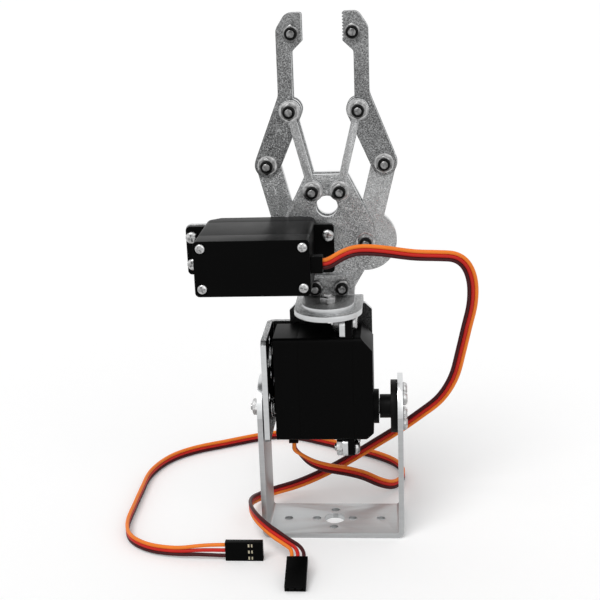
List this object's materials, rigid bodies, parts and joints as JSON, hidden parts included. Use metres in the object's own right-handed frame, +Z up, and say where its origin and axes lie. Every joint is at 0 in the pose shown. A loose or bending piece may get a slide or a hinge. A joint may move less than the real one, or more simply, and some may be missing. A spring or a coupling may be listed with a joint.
{
  "type": "two finger gripper",
  "caption": "Parallel two finger gripper of aluminium plates with geared arms and links, driven by a servo, on a servo tilt head in a U bracket.",
  "frame": {"origin": "centre of the bolt circle on the underside of the U bracket", "axes": "+Z up through the bracket to the claw, +X along the tilt axis to the horn side, the claw servo is at -Y"},
  "size_m": [0.1367, 0.1336, 0.1939],
  "materials": {
    "bright_aluminium": "smooth clear anodised",
    "blasted_aluminium": "sand blasted",
    "zinc_steel": "zinc plated",
    "motor_can": "plain",
    "circuit_board": "solder mask",
    "gear_brass": "machined",
    "horn_plastic": "moulded",
    "lead_insulation": "three wires side by side",
    "servo_plastic": "moulded, fine texture"
  },
  "bodies": {
    "base": {"u_bracket": "bright_aluminium", "tilt_horn": "horn_plastic", "tilt_horn_screws": "zinc_steel", "tilt_shaft": "gear_brass", "pivot_bolt": "zinc_steel", "pivot_washer": "zinc_steel", "pivot_nut": "zinc_steel", "pivot_bearing_inner": "zinc_steel", "claw_lead": "lead_insulation", "tilt_lead": "lead_insulation", "claw_plug": "servo_plastic", "tilt_plug": "servo_plastic"},
    "tilt_head": {"pivot_bearing_outer": "zinc_steel", "pivot_bearing_balls": "zinc_steel", "servo_bracket": "blasted_aluminium", "head_screws": "zinc_steel", "head_nuts": "zinc_steel", "l_bracket": "blasted_aluminium", "claw_foot": "blasted_aluminium", "foot_centre_screw": "zinc_steel", "front_plate": "blasted_aluminium", "back_plate": "blasted_aluminium", "plate_spacers": "blasted_aluminium", "plate_bolts": "zinc_steel", "plate_nuts": "zinc_steel", "plate_washers": "zinc_steel", "servo_pillars": "blasted_aluminium", "pillar_screws": "zinc_steel", "tilt_servo_cover": "servo_plastic", "tilt_servo_case": "servo_plastic", "tilt_servo_top": "servo_plastic", "tilt_servo_screws": "zinc_steel", "tilt_servo_relief": "servo_plastic", "tilt_servo_motor": "motor_can", "tilt_servo_board": "circuit_board", "tilt_servo_gear": "gear_brass", "claw_servo_cover": "servo_plastic", "claw_servo_case": "servo_plastic", "claw_servo_top": "servo_plastic", "claw_servo_screws": "zinc_steel", "claw_servo_relief": "servo_plastic", "claw_servo_motor": "motor_can", "claw_servo_board": "circuit_board", "claw_servo_gear": "gear_brass"},
    "left_arm": {"claw_shaft": "gear_brass", "claw_horn": "horn_plastic", "claw_horn_screws": "zinc_steel", "left_gear_arm": "blasted_aluminium"},
    "right_arm": {"right_gear_arm": "blasted_aluminium"},
    "left_link": {"left_links": "blasted_aluminium"},
    "right_link": {"right_links": "blasted_aluminium"},
    "left_finger": {"left_finger": "blasted_aluminium", "left_finger_bolts": "zinc_steel", "left_finger_nuts": "zinc_steel", "left_finger_spacers": "zinc_steel"},
    "right_finger": {"right_finger": "blasted_aluminium", "right_finger_bolts": "zinc_steel", "right_finger_nuts": "zinc_steel", "right_finger_spacers": "zinc_steel"}
  },
  "joints": [
    {"name": "tilt", "type": "hinge", "parent": "base", "child": "tilt_head", "pos_m": [0, 0, 0.049], "axis": [1, 0, 0], "range_deg": [-90, 90], "deforming": ["claw_lead", "tilt_lead"]},
    {"name": "grip", "type": "hinge", "parent": "tilt_head", "child": "left_arm", "pos_m": [-0.014, 0.0118, 0.111], "axis": [0, -1, 0], "range_deg": [-13, 47.5]},
    {"name": "right_arm_turn", "type": "hinge", "parent": "tilt_head", "child": "right_arm", "pos_m": [0.014, 0.0118, 0.111], "axis": [0, 1, 0], "range_deg": [-13, 47.5]},
    {"name": "left_link_turn", "type": "hinge", "parent": "tilt_head", "child": "left_link", "pos_m": [-0.005, 0.0118, 0.1307], "axis": [0, -1, 0], "range_deg": [-13, 47.5]},
    {"name": "right_link_turn", "type": "hinge", "parent": "tilt_head", "child": "right_link", "pos_m": [0.005, 0.0118, 0.1307], "axis": [0, 1, 0], "range_deg": [-13, 47.5]},
    {"name": "left_finger_turn", "type": "hinge", "parent": "left_arm", "child": "left_finger", "pos_m": [-0.02126, 0.0118, 0.14011], "axis": [0, 1, 0], "range_deg": [-13, 47.5]},
    {"name": "right_finger_turn", "type": "hinge", "parent": "right_arm", "child": "right_finger", "pos_m": [0.02126, 0.0118, 0.14011], "axis": [0, -1, 0], "range_deg": [-13, 47.5]}
  ],
  "couplings": [
    {"joint": "right_arm_turn", "follows": "grip", "ratio": 1},
    {"joint": "left_link_turn", "follows": "grip", "ratio": 1},
    {"joint": "right_link_turn", "follows": "grip", "ratio": 1},
    {"joint": "left_finger_turn", "follows": "grip", "ratio": 1},
    {"joint": "right_finger_turn", "follows": "grip", "ratio": 1}
  ]
}
